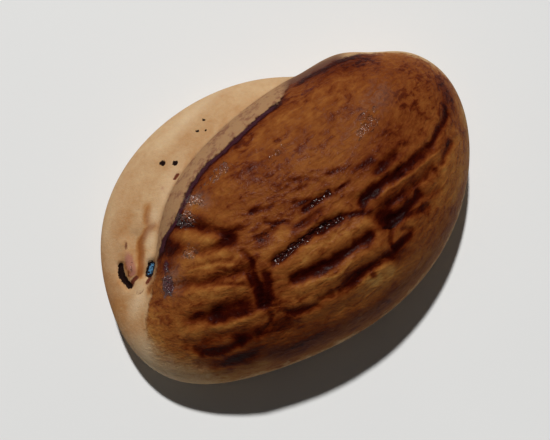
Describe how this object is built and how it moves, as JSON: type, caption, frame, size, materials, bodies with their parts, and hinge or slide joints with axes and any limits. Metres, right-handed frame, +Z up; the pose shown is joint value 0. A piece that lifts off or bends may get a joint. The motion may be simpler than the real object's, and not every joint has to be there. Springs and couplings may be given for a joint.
{
  "type": "cheese pogaca",
  "caption": "Folded, oval cheese-filled bun with a glossy brown, fork-scored top flap over a pale lower flap, resting on a flat base.",
  "frame": {"origin": "centre of the bounding box in plan, on the plane of the flat base", "axes": "+X along the bun's length, +Y towards the pale lower flap, +Z up"},
  "size_m": [0.1205, 0.083, 0.0413],
  "materials": {
    "glazed_crust": "egg-glazed crust, semi-gloss reddish brown with dark burnt strokes, matte pale tan on the lower flap"
  },
  "bodies": {
    "root": {"bun": "glazed_crust"}
  },
  "joints": []
}
